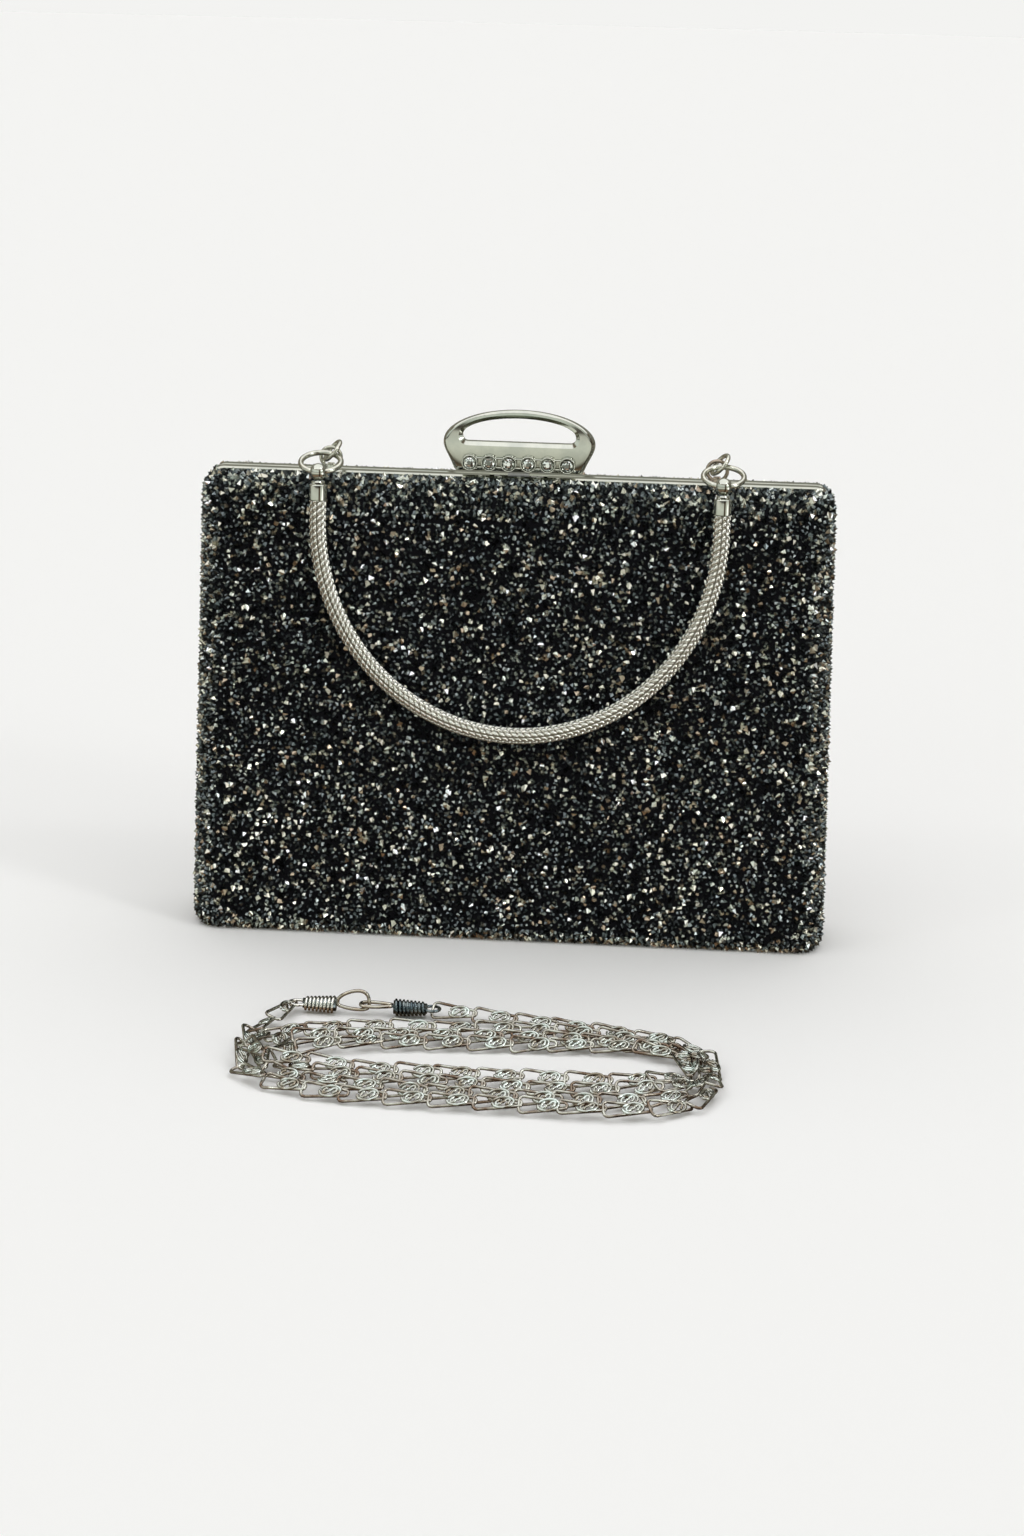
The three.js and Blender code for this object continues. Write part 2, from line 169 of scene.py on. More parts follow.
# The scrolls on top get a bright silver and the loops under them a darker, browner copy of it: painted shade
# and painted reflection.
CHAIN_WIRE = brushed("chain_wire", (0.80, 0.88, 0.84), 0.08, 260.0, (0.30, 0.26, 0.20))
CHAIN_LOOP_SHADE = brushed("chain_loop_painted_shade", (0.68, 0.69, 0.62), 0.08, 260.0, (0.20, 0.14, 0.10))
HOOK_WIRE = brushed("hook_wire", (0.66, 0.64, 0.57), 0.12, 300.0, (0.52, 0.45, 0.36))
BARREL_DARK = brushed("dark_winding", (0.10, 0.14, 0.16), 0.2, 400.0, (0.34, 0.38, 0.38))
LUG_WIRE = brushed("lug_wire", (0.42, 0.35, 0.29), 0.2, 300.0, (0.50, 0.42, 0.35))
STEEL = brushed("satin_steel", (0.52, 0.52, 0.53), 0.3)
FRAME_PLATE = brushed("frame_plate", (0.51, 0.53, 0.47), 0.12, 90.0, (0.57, 0.57, 0.50))
# The stones' facets are dealt a bright or a dark colour at random: painted glints and painted dark
# reflections.
STONE_PAINTED_GLINT = material("stone_painted_glint", (0.92, 0.95, 0.93), metallic=0.95, roughness=0.03)
STONE_PAINTED_DARK_REFLECTION = material("stone_painted_dark_reflection", (0.20, 0.21, 0.19), metallic=0.95, roughness=0.03)


def woven(name, dark, light, threads, roughness, sheen=0.0, specular=0.5):
    """A cloth with a fine diagonal weave, in threads per metre."""
    made = material(name, dark, roughness=roughness, sheen=sheen, specular=specular)
    weave = texture(made, "ShaderNodeTexWave", threads, Distortion=0.6)
    weave.wave_type = "BANDS"
    weave.bands_direction = "DIAGONAL"
    vary_color(made, weave, "Fac", dark, light)
    add_bump(made, weave, "Fac", 0.35, 0.0002)
    return made


SATIN = woven("black_satin", (0.012, 0.012, 0.014), (0.035, 0.034, 0.038), 900.0, 0.42, 0.3)
GROUND_CLOTH = woven("ground_cloth", (0.002, 0.002, 0.003), (0.006, 0.006, 0.008), 700.0, 0.9, specular=0.1)
BOARD = material("fibre_board", (0.3, 0.24, 0.17), roughness=0.9)
BOARD_NOISE = texture(BOARD, "ShaderNodeTexNoise", 350.0, Detail=8.0)
vary_color(BOARD, BOARD_NOISE, "Fac", (0.2, 0.16, 0.11), (0.42, 0.35, 0.26))
add_bump(BOARD, BOARD_NOISE, "Fac", 0.4, 0.0002)

# Colour, roughness and share of each sort of crystal, from dark to pale.
CRYSTALS = [
    ("crystal_black", (0.026, 0.030, 0.031), 0.24, 0.27),
    ("crystal_slate", (0.135, 0.158, 0.165), 0.24, 0.27),
    ("crystal_grey", (0.28, 0.31, 0.31), 0.24, 0.18),
    ("crystal_grey_green", (0.42, 0.45, 0.41), 0.25, 0.11),
    ("crystal_bronze", (0.46, 0.38, 0.29), 0.25, 0.03),
    ("crystal_champagne", (0.64, 0.62, 0.53), 0.22, 0.07),
    ("crystal_cream", (0.80, 0.81, 0.74), 0.18, 0.04),
    ("crystal_clear", (0.95, 0.96, 1.0), 0.05, 0.015),
]
FIRST_PALE = 4
CRYSTAL_LOOKS = [material(name, color, 1.0, rough) for name, color, rough, _ in CRYSTALS]
CRYSTAL_SHARES = np.array([row[-1] for row in CRYSTALS])
CRYSTAL_SHARES = CRYSTAL_SHARES / CRYSTAL_SHARES.sum()


# ---- meshes ---------------------------------------------------------------------------
def add_mesh(name, points, faces, looks, body, slot, smooth=True, sorts=None, replaced=()):
    """A piece from points in millimetres, riding on a body."""
    data = bpy.data.meshes.new(name)
    points = np.asarray(points, dtype=np.float64) * MM
    data.from_pydata(points.tolist(), [], [list(map(int, f)) for f in faces])
    looks = looks if isinstance(looks, list) else [looks]
    for look in looks:
        data.materials.append(look)
    if sorts is not None:
        data.polygons.foreach_set("material_index", np.asarray(sorts, dtype=np.int32))
    data.polygons.foreach_set("use_smooth", np.full(len(data.polygons), smooth))
    data.update()
    piece = bpy.data.objects.new(name, data)
    bpy.context.scene.collection.objects.link(piece)
    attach(piece, body)
    if replaced:
        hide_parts(*replaced)
    return piece


def grid_faces(rows, cols, close_rows=False, close_cols=True):
    """Quads over a grid of points; either direction can run back to its start."""
    faces = []
    for i in range(rows if close_rows else rows - 1):
        for j in range(cols if close_cols else cols - 1):
            a, b = i * cols + j, i * cols + (j + 1) % cols
            c, d = ((i + 1) % rows) * cols + (j + 1) % cols, ((i + 1) % rows) * cols + j
            faces.append((a, b, c, d))
    return faces


def join(shapes):
    """Several (points, faces) as one."""
    points, faces, start = [], [], 0
    for p, f in shapes:
        points.append(np.asarray(p))
        faces += [tuple(start + i for i in face) for face in f]
        start += len(p)
    return np.concatenate(points), faces


def frames_along(path, closed=False):
    """Tangents and two normals at each point, turned as little as possible on the way."""
    path = np.asarray(path, dtype=float)
    if closed:
        tangent = np.roll(path, -1, 0) - np.roll(path, 1, 0)
    else:
        tangent = np.gradient(path, axis=0)
    tangent /= np.linalg.norm(tangent, axis=1)[:, None]
    normals = []
    normal = np.array([0.0, 0.0, 1.0]) if abs(tangent[0][2]) < 0.8 else np.array([0.0, 1.0, 0.0])
    for t in tangent:
        normal = normal - t * (normal @ t)
        normal = normal / np.linalg.norm(normal)
        normals.append(normal)
    normals = np.array(normals)
    if closed:
        miss = math.atan2(np.dot(np.cross(normals[-1], normals[0]), tangent[0]), normals[-1] @ normals[0])
        share = miss * np.arange(len(path)) / len(path)
        side = np.cross(tangent, normals)
        normals = normals * np.cos(share)[:, None] + side * np.sin(share)[:, None]
    return tangent, normals, np.cross(tangent, normals)


def reach_along(points):
    """How far along a line each of its points lies."""
    return np.concatenate([[0], np.cumsum(np.linalg.norm(np.diff(points, axis=0), axis=1))])


def spots_along(points, at):
    """The places that lie at given distances along a line."""
    reach = reach_along(points)
    return np.stack([np.interp(at, reach, values) for values in points.T], axis=1)


def evenly(points, count):
    """The same line as evenly spaced points, and its length."""
    points = np.array(points)
    length = reach_along(points)[-1]
    return spots_along(points, np.linspace(0, length, count)), length


def wire(path, radius, sides=8, closed=False):
    """A round wire along a path; open ends are closed by a small dome."""
    path = np.asarray(path, dtype=float)
    radii = np.full(len(path), radius)
    if not closed:
        tangent = frames_along(path)[0]
        head, tail = path[0] - tangent[0] * radius * 0.5, path[-1] + tangent[-1] * radius * 0.5
        path = np.vstack([head, path, tail])
        radii = np.concatenate([[radius * 0.55], radii, [radius * 0.55]])
    _, n, b = frames_along(path, closed)
    angle = np.linspace(0, 2 * math.pi, sides, endpoint=False)
    ring = np.cos(angle)[None, :, None] * n[:, None] + np.sin(angle)[None, :, None] * b[:, None]
    points = (path[:, None] + ring * radii[:, None, None]).reshape(-1, 3)
    faces = grid_faces(len(path), sides, close_rows=closed)
    if not closed:
        last = (len(path) - 1) * sides
        faces += [tuple(range(sides))[::-1], tuple(last + i for i in range(sides))]
    return points, faces


def lathe(profile, segments=32):
    """A profile of (radius, height) pairs turned round Z; it starts and ends on the axis."""
    profile = np.asarray(profile, dtype=float)
    inner = profile[1:-1]
    angle = np.linspace(0, 2 * math.pi, segments, endpoint=False)
    points = [(r * math.cos(a), r * math.sin(a), h) for r, h in inner for a in angle]
    faces = grid_faces(len(inner), segments)
    low, high = len(points), len(points) + 1
    points += [(0, 0, profile[0][1]), (0, 0, profile[-1][1])]
    last = (len(inner) - 1) * segments
    for i in range(segments):
        j = (i + 1) % segments
        faces += [(low, j, i), (high, last + i, last + j)]
    return np.array(points), faces


def turned_ring(section, segments=32):
    """A closed (radius, height) outline turned round Z, with an open middle."""
    angle = np.linspace(0, 2 * math.pi, segments, endpoint=False)
    points = [(r * math.cos(a), r * math.sin(a), h) for a in angle for r, h in section]
    return np.array(points), [f[::-1] for f in grid_faces(segments, len(section), close_rows=True)]


def moved(shape, matrix):
    """A shape's points and faces, carried by a matrix."""
    points, faces = shape
    m = np.array(matrix)
    return points @ m[:3, :3].T + m[:3, 3], faces


def place(location, z_axis=(0, 0, 1), x_hint=(1, 0, 0)):
    """A matrix that carries Z to z_axis and the origin to a location."""
    z = Vector(z_axis).normalized()
    x = Vector(x_hint) - z * Vector(x_hint).dot(z)
    x.normalize()
    y = z.cross(x)
    turn = Matrix((x, y, z)).transposed().to_4x4()
    return Matrix.Translation(Vector(location)) @ turn


def circle(radius, count=64):
    """Points round Z, in the plane at height 0."""
    angle = np.linspace(0, 2 * math.pi, count, endpoint=False)
    return np.stack([radius * np.cos(angle), radius * np.sin(angle), 0 * angle], axis=1)


# ---- the covers' surface ---------------------------------------------------------------
def rim_outline(angle):
    """Half width, low, high and depth of the case at a profile angle, which is 0 at the edge."""
    out = EDGE_Y + (FACE_Y - EDGE_Y) * math.sin(angle)
    fall = 1 - math.cos(angle)
    turn = max(0.0, (out - (FACE_Y - BOTTOM_RADIUS)) / BOTTOM_RADIUS)
    rise = BOTTOM_RADIUS * (1 - math.sqrt(max(0.0, 1 - turn * turn)))
    return HALF_WIDTH - SIDE_BULGE * fall, rise, CASE_TOP - SHOULDER * fall, out


def widened(x, z):
    """X with the case's taper: wider than at mid height below it, narrower above."""
    return x * (1 + TAPER * (1 - 2 * z / CASE_TOP))


def rim_points(angle, share, side):
    """Points at shares of the way round the case, at a profile angle, and that way's length."""
    half, low, high, out = rim_outline(angle)
    corners = [(half, low, -90), (half, high, 0), (-half, high, 90), (-half, low, 180)]
    outline = []
    for x, z, start in corners:
        cx = x - math.copysign(CORNER_RADIUS, x)
        cz = z + (CORNER_RADIUS if z == low else -CORNER_RADIUS)
        for step in range(9):
            a = math.radians(start + 90 * step / 8)
            outline.append((cx + CORNER_RADIUS * math.cos(a), cz + CORNER_RADIUS * math.sin(a)))
    outline = np.array(outline + outline[:1])
    length = reach_along(outline)[-1]
    x, z = spots_along(outline, (np.asarray(share) % 1.0) * length).T
    y = np.full(len(x), CASE_Y + side * out)
    return np.stack([widened(x, z), y, z], axis=1), length


RIM_WIDTH = 19.5  # the rounded rim's length from the edge to the face
RIM_ROW_GAP, FACE_ROW_GAP = 0.82, 0.86  # rows of crystals, over the pitch in a row
JITTER = 0.3  # the largest shift of a crystal, over the pitch


def rim_sites(side, pitch):
    """Crystal sites over the rounded rim: places and outward normals."""
    places, normals = [], []
    angles = np.radians(np.arange(3.0, 88.0, 90.0 * pitch * RIM_ROW_GAP / RIM_WIDTH))
    centre = np.array([0.0, CASE_Y, CASE_TOP / 2])
    for row, angle in enumerate(angles):
        length = rim_points(angle, [0.0], side)[1]
        count = int(length / pitch)
        share = (np.arange(count) + 0.5 * (row % 2) + rng.uniform(-JITTER, JITTER, count)) / count
        spot = rim_points(angle, share, side)[0]
        along = rim_points(angle, share + 0.002, side)[0] - rim_points(angle, share - 0.002, side)[0]
        across = rim_points(angle + 0.02, share, side)[0] - rim_points(angle - 0.02, share, side)[0]
        normal = np.cross(along, across)
        normal /= np.linalg.norm(normal, axis=1)[:, None]
        outward = spot - centre
        outward[:, 1] *= 8  # the case is flat, so depth counts for more than width and height
        flip = np.sign(np.einsum("ij,ij->i", normal, outward))
        places.append(spot)
        normals.append(normal * flip[:, None])
    return np.concatenate(places), np.concatenate(normals)


def face_sites(side, pitch):
    """Crystal sites over the flat face."""
    half, low, high, out = rim_outline(math.radians(89.9))
    rows = int((high - low) / (pitch * FACE_ROW_GAP))
    cols = int(2 * half / pitch)
    places = []
    for row in range(rows + 1):
        z = low + (high - low) * row / rows + rng.uniform(-JITTER, JITTER, cols + 1) * pitch
        x = -half + 2 * half * (np.arange(cols + 1) + 0.5 * (row % 2)) / cols
        x = x + rng.uniform(-JITTER, JITTER, cols + 1) * pitch
        inside = (abs(x) < half) & (z > low) & (z < high)
        spot = np.stack([widened(x, z), np.full(cols + 1, CASE_Y + side * out), z], axis=1)
        places.append(spot[inside])
    places = np.concatenate(places)
    return places, np.tile([0.0, float(side), 0.0], (len(places), 1))


TILT, LEAN = 0.2, 0.28  # spread of the crystals' directions, and of their tips over their radius
SUNK = 0.25  # how deep their bases lie in the cloth


def add_crystals(name, sites, body, size):
    """Small irregular pyramids, each with five facets, tilted and turned at random."""
    places, normals = sites
    count, sides = len(places), 5
    sorts = rng.choice(len(CRYSTALS), count, p=CRYSTAL_SHARES)
    pale = sorts >= FIRST_PALE
    normals = normals + rng.normal(0, TILT, (count, 3))
    normals /= np.linalg.norm(normals, axis=1)[:, None]
    hint = np.where(abs(normals[:, 2:3]) < 0.8, [[0.0, 0.0, 1.0]], [[1.0, 0.0, 0.0]])
    u = np.cross(normals, hint)
    u /= np.linalg.norm(u, axis=1)[:, None]
    v = np.cross(normals, u)
    radius = size * rng.uniform(0.8, 1.15, count) * np.where(pale, 1.25, 1.0)
    height = radius * rng.uniform(0.6, 1.15, count)
    spin = rng.uniform(0, 2 * math.pi, count)
    turn = (np.arange(sides) + rng.uniform(-0.28, 0.28, (count, sides))) / sides
    angle = spin[:, None] + 2 * math.pi * turn
    ring = np.cos(angle)[..., None] * u[:, None] + np.sin(angle)[..., None] * v[:, None]
    spread = radius[:, None, None] * rng.uniform(0.85, 1.12, (count, sides, 1))
    base = places[:, None] + ring * spread - normals[:, None] * SUNK
    lean = (u * rng.normal(0, LEAN, (count, 1)) + v * rng.normal(0, LEAN, (count, 1))) * radius[:, None]
    tip = places + normals * height[:, None] + lean
    points = np.concatenate([base, tip[:, None]], axis=1).reshape(-1, 3)
    start = np.arange(count)[:, None] * (sides + 1)
    step = np.arange(sides)[None, :]
    tips = np.broadcast_to(start + sides, (count, sides))
    facets = np.stack([start + step, start + (step + 1) % sides, tips], axis=2).reshape(-1, 3)
    under = start + np.arange(sides)[::-1][None, :]
    return add_mesh(name, points, facets.tolist() + under.tolist(), CRYSTAL_LOOKS, body, "crystal_cloth",
                    smooth=False, sorts=np.concatenate([np.repeat(sorts, sides), sorts]))


def add_cover_crystals():
    """Crystals over the face and the rim of each half."""
    pitch = 1.66
    size = pitch * 0.57
    for body, side in (("front_half", -1), ("back_half", 1)):
        add_crystals(f"{body}_face_crystals", face_sites(side, pitch), body, size)
        add_crystals(f"{body}_rim_crystals", rim_sites(side, pitch), body, size)


# ---- clasp ----------------------------------------------------------------------------
# Half widths at the foot and the waist, the heights of both, the dome's rise over the waist, the radius
# at the foot's corners and the number of points.
OVAL = {"foot": 21.3, "half": 25.5, "bottom": 0.0, "waist": 9.0, "dome": 11.4, "corner": 1.2, "count": 160}
WINDOW = {"foot": 18.4, "half": 18.7, "bottom": 9.9, "waist": 11.8, "dome": 5.8, "corner": 1.7, "count": 400}
WINDOW_WALL = 1.25  # width of the window's sloping wall
EDGE_ROUND = 1.3  # width of the rounding at the outer edge
BELLY_AT, BELLY_FALL = 7.5, 0.42  # height of the thickest place, and the share lost far from it


def oval_outline(foot, half, bottom, waist, dome, corner, count):
    """Half an ellipse over straight sides that run down to a foot, as evenly spaced points."""
    corners = [(half * math.cos(a), waist + dome * math.sin(a)) for a in np.linspace(0, math.pi, 61)]
    side = math.atan2(waist - bottom, half - foot)
    for sign in (-1, 1):
        bend = []
        for turn in np.linspace(0, 1, 9) * (math.pi - side):
            x = foot - corner + corner * math.sin(turn)
            bend.append((sign * x, bottom + corner - corner * math.cos(turn)))
        corners += bend[::-1] if sign < 0 else bend
    corners = np.array(corners + corners[:1])
    length = reach_along(corners)[-1]
    outline = spots_along(corners, np.linspace(0, length, count, endpoint=False))
    upper = outline[:, 1] > bottom + corner
    for _ in range(count // 7):
        softer = (np.roll(outline, 1, 0) + 2 * outline + np.roll(outline, -1, 0)) / 4
        outline[upper] = softer[upper]
    return outline


def widen(outline, distance):
    """An outline moved outwards along its own normals."""
    along = np.roll(outline, -1, 0) - np.roll(outline, 1, 0)
    along /= np.linalg.norm(along, axis=1)[:, None]
    return outline + distance * np.stack([along[:, 1], -along[:, 0]], axis=1)


def matched(outer, centre, keys, values):
    """Values along an inner outline, taken where it lies in the same directions as the outer one."""
    outward = outer - centre
    angle = np.arctan2(outward[:, 1], outward[:, 0])
    inner_angle = np.arctan2(keys[:, 1] - centre[1], keys[:, 0] - centre[0])
    order = np.argsort(inner_angle)
    return np.stack([np.interp(angle, inner_angle[order], values[order, k], period=2 * math.pi)
                     for k in (0, 1)], axis=1)


def add_ornament():
    """The clasp's oval: a convex belly round a flat-bottomed window with a sloping wall."""
    low, high = ORNAMENT
    middle = np.array([(low[0] + high[0]) / 2, (low[1] + high[1]) / 2, low[2]])
    outer = oval_outline(**OVAL)
    window = oval_outline(**WINDOW)
    lip = widen(window, WINDOW_WALL)
    centre = np.array([0.0, 13.0])
    rims, insides = matched(outer, centre, lip, lip), matched(outer, centre, lip, window)
    half_thick = (high[1] - low[1]) / 2
    points = []
    for outside, rim, inside in zip(outer, rims, insides):
        width = np.linalg.norm(outside - rim)
        edge = min(EDGE_ROUND, 0.6 * width) / width
        bend = [(1 - edge * (1 - math.sin(a)), math.cos(a)) for a in np.radians((0, 15, 32, 48, 64, 78, 90))]
        front = [(rim + (outside - rim) * t, 1.0) for t in np.linspace(0, 1 - edge, 8)[:-1]]
        front += [(rim + (outside - rim) * t, depth) for t, depth in bend]
        back = [(spot, -depth) for spot, depth in front[-2::-1]]
        wall = np.interp(inside[1], (10.5, 13.5), (0.74, 0.35))
        for (x, z), depth in [(inside, -0.2), (inside, wall)] + front + back:
            belly = 1 - BELLY_FALL * ((z - BELLY_AT) / (13.0 if z > BELLY_AT else 9.0)) ** 2
            points.append((x, -half_thick * belly * depth, z))
    section = len(points) // len(outer)
    faces = [f[::-1] for f in grid_faces(len(outer), section, close_rows=True)]
    piece = add_mesh("clasp_oval", np.array(points) + middle, faces, SILVER, "clasp", "silver_metal",
                     replaced=("clasp_ornament",))
    piece.data.set_sharp_from_angle(angle=math.radians(24))


STONES = 6


def add_setting():
    """A row of round cups, each with four beads over its stone, joined by two rails."""
    low, high = box("stone_setting")
    z = (low[2] + high[2]) / 2
    back = high[1]
    shapes = []
    cup = [(2.1, -0.7), (2.7, -0.7), (2.7, 0.9), (2.66, 1.25), (2.52, 1.45), (2.34, 1.45), (2.2, 1.25),
           (2.12, 0.6)]
    floor = [(0, -0.6), (2.25, -0.6), (2.25, 0.3), (1.4, 0.25), (0, 0.2)]
    bead = [(0, -0.3), (0.2, -0.2), (0.3, 0.05), (0.22, 0.25), (0, 0.33)]
    bead_reach, bead_height = 2.42, 1.45
    for i in range(STONES):
        x = middle_of(f"clasp_stone_{i + 1}")[0]
        at = place((x, back, z), (0, -1, 0))
        shapes += [moved(turned_ring(cup, 28), at), moved(lathe(floor, 28), at)]
        for k in range(4):
            a = math.radians(45 + 90 * k)
            spot = (x + bead_reach * math.cos(a), back - bead_height, z + bead_reach * math.sin(a))
            shapes.append(moved(lathe(bead, 8), place(spot, (0, -1, 0))))
    for dz in (-1.5, 1.5):
        rail = [(x, back - 0.32, z + dz) for x in np.linspace(low[0] + 2.7, high[0] - 2.7, 24)]
        shapes.append(wire(rail, 0.3, 8))
    points, faces = join(shapes)
    add_mesh("stone_cups", points, faces, SILVER, "clasp", "silver_metal", replaced=("stone_setting",))


def brilliant(radius):
    """A round brilliant cut with a small table and three rows of crown facets."""
    count = 12

    def ring(share, height, turn):
        angles = [2 * math.pi * (k + turn) / count for k in range(count)]
        return [(share * radius * math.cos(a), share * radius * math.sin(a), height) for a in angles]

    levels = [ring(0.35, -0.7, 0), ring(1.0, 0.0, 0.5), ring(1.0, 0.12, 0.5), ring(0.82, 0.55, 0),
              ring(0.58, 0.8, 0.5), ring(0.34, 0.92, 0)]
    points = [p for level in levels for p in level]
    faces = [tuple(range(count))[::-1], tuple(range(5 * count, 6 * count))]
    for level, shifted in ((0, False), (2, True), (3, False), (4, True)):
        a, b = count * level, count * (level + 1)
        for k in range(count):
            n = (k + 1) % count
            if shifted:
                faces += [(a + k, b + n, b + k), (a + k, a + n, b + n)]
            else:
                faces += [(a + k, a + n, b + k), (a + n, b + n, b + k)]
    for k in range(count):
        n = (k + 1) % count
        faces.append((count + k, count + n, 2 * count + n, 2 * count + k))
    return np.array(points), faces


def add_stones():
    """Six cut stones in the cups, each turned a little further, with some facets coloured bright as painted
    glints and the rest dark as painted reflections.
    """
    for i in range(STONES):
        node = f"clasp_stone_{i + 1}"
        low, high = box(node)
        middle = (low + high) / 2
        turn = Matrix.Rotation(0.7 * i, 4, "Z")
        at = place((middle[0], high[1] - 0.05, middle[2]), (0, -1, 0)) @ turn
        points, faces = moved(brilliant(2.02), at)
        # About 62% of the facets are bright as painted glints, and the rest are dark as painted reflections.
        sorts = rng.choice(2, len(faces), p=(0.62, 0.38))
        add_mesh(f"brilliant_{i + 1}", points, faces, [STONE_PAINTED_GLINT, STONE_PAINTED_DARK_REFLECTION], "clasp", "clear_stone",
                 smooth=False, sorts=sorts, replaced=(node,))


# ---- lugs, rings and balls ------------------------------------------------------------
def add_links():
    """At each end a lug's eye on the frame, a small ring through it and a large ring through that."""
    down = Vector((0, -math.cos(LINK_TILT), -math.sin(LINK_TILT)))
    normal = Vector((0, -math.sin(LINK_TILT), math.cos(LINK_TILT)))
    twisted = Matrix.Rotation(math.radians(-42.0), 4, down) @ Vector((1, 0, 0))
    shift = 0.8
    for end in ("left", "right"):
        body = f"links_{end}"
        centre = middle_of(f"small_ring_{end}") + (shift, 0, 0)
        small = moved(wire(circle(3.75), 0.7, 12, True), place(centre, twisted, down))
        add_mesh(f"small_link_{end}", *small, RING_WIRE, body, "silver_metal",
                 replaced=(f"small_ring_{end}",))
        large = moved(wire(circle(6.5, 80), 0.9, 14, True), place(middle_of(f"large_ring_{end}"), normal))
        add_mesh(f"large_link_{end}", *large, RING_WIRE, body, "silver_metal",
                 replaced=(f"large_ring_{end}",))
        add_lug(end)


def add_lug(end):
    """A wire eye standing on a small flared foot."""
    low, high = box(f"handle_lug_{end}")
    middle = (low + high) / 2
    radius, thick = 3.26, 0.62
    centre = np.array([middle[0], middle[1], high[2] - 0.6 - radius])
    eye = moved(wire(circle(radius), thick, 12, True), place(centre, (0, -1, 0)))
    foot = []
    levels, sides = 7, 24
    for share in np.linspace(0, 1, levels):
        height = low[2] + 1.9 * share
        wide, deep = 1.15 + 2.85 * (1 - share) ** 2.4, 0.55 + 0.35 * (1 - share) ** 2
        for a in np.linspace(0, 2 * math.pi, sides, endpoint=False):
            foot.append((middle[0] + wide * math.cos(a), middle[1] + deep * math.sin(a), height))
    foot = np.array(foot)
    last = (levels - 1) * sides
    faces = grid_faces(levels, sides) + [tuple(range(sides))[::-1], tuple(range(last, last + sides))]
    points, faces = join([eye, (foot, faces)])
    points[:, 2] = np.maximum(points[:, 2], low[2])
    look = LUG_WIRE if end == "right" else RING_WIRE
    add_mesh(f"lug_eye_{end}", points, faces, look, "front_half", "silver_metal",
             replaced=(f"handle_lug_{end}",))


# ---- handle ---------------------------------------------------------------------------
# The tube's radius, its start below the balls, the depth and lowest height of its centreline, and the
# heights where it lies flat on the face and where its bend starts.
HANDLE_RADIUS = 2.6
HANDLE = {"start": 9.2, "face_y": box("handle_tube")[0][1] + HANDLE_RADIUS,
          "low": box("handle_tube")[0][2] + HANDLE_RADIUS,
          "flat_z": CASE_TOP - 18, "spring_z": CASE_TOP - 13}


def handle_path(count):
    """The handle tube's centreline: straight, half an ellipse, straight."""
    middle = BALLS.mean(axis=0)
    reach = (BALLS[1][0] - BALLS[0][0]) / 2
    start_z = middle[2] - HANDLE["start"]
    straight = start_z - HANDLE["spring_z"]
    drop = HANDLE["spring_z"] - HANDLE["low"]
    bend = math.pi * (reach + drop) / 2
    points = []
    for run in np.linspace(0, 2 * straight + bend, 900):
        x, z = -reach, start_z - run
        if run > straight + bend:
            x, z = reach, HANDLE["spring_z"] + run - straight - bend
        elif run > straight:
            angle = math.pi * (run - straight) / bend
            x, z = -reach * math.cos(angle), HANDLE["spring_z"] - drop * math.sin(angle)
        rise = max(0.0, (z - HANDLE["flat_z"]) / (middle[2] - HANDLE["flat_z"]))
        points.append((middle[0] + x, HANDLE["face_y"] + (middle[1] - HANDLE["face_y"]) * rise ** 1.6, z))
    return evenly(points, count)


def add_handle_tube():
    """A knitted tube: ten columns of stitches, each stitch a slanting bead between grooves, which are
    coloured darker as painted shade.
    """
    rows, sides = ((1900, 90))
    path, length = handle_path(rows)
    _, n, b = frames_along(path)
    columns, stitch, slant, groove = 10, 2.15, -0.44, 0.85
    along = np.linspace(0, length, rows)[:, None]
    turn = np.linspace(0, 2 * math.pi, sides, endpoint=False)[None, :]
    column = turn / (2 * math.pi) * columns
    across = column % 1.0 - 0.5
    phase = (along / stitch + slant * across + 0.5 * (np.floor(column) % 2)) % 1.0 - 0.5
    bead = np.clip(1 - (across / 0.5) ** 4 - (phase / 0.5) ** 2, 0, 1)
    radius = HANDLE_RADIUS - groove + 1.1 * np.sqrt(bead)
    ring = np.cos(turn)[..., None] * n[:, None] + np.sin(turn)[..., None] * b[:, None]
    points = (path[:, None] + ring * radius[..., None]).reshape(-1, 3)
    faces = grid_faces(rows, sides)
    last = (rows - 1) * sides
    faces += [tuple(range(sides))[::-1], tuple(last + i for i in range(sides))]
    # Faces deep in the grooves take the darker metal: painted shade.
    sorts = np.append((bead[:-1] < 0.06).astype(int).ravel(), [0, 0])
    add_mesh("handle_knit", points, faces, [KNIT, KNIT_GROOVE_SHADE], "handle", "knitted_metal", sorts=sorts,
             replaced=("handle_tube",))


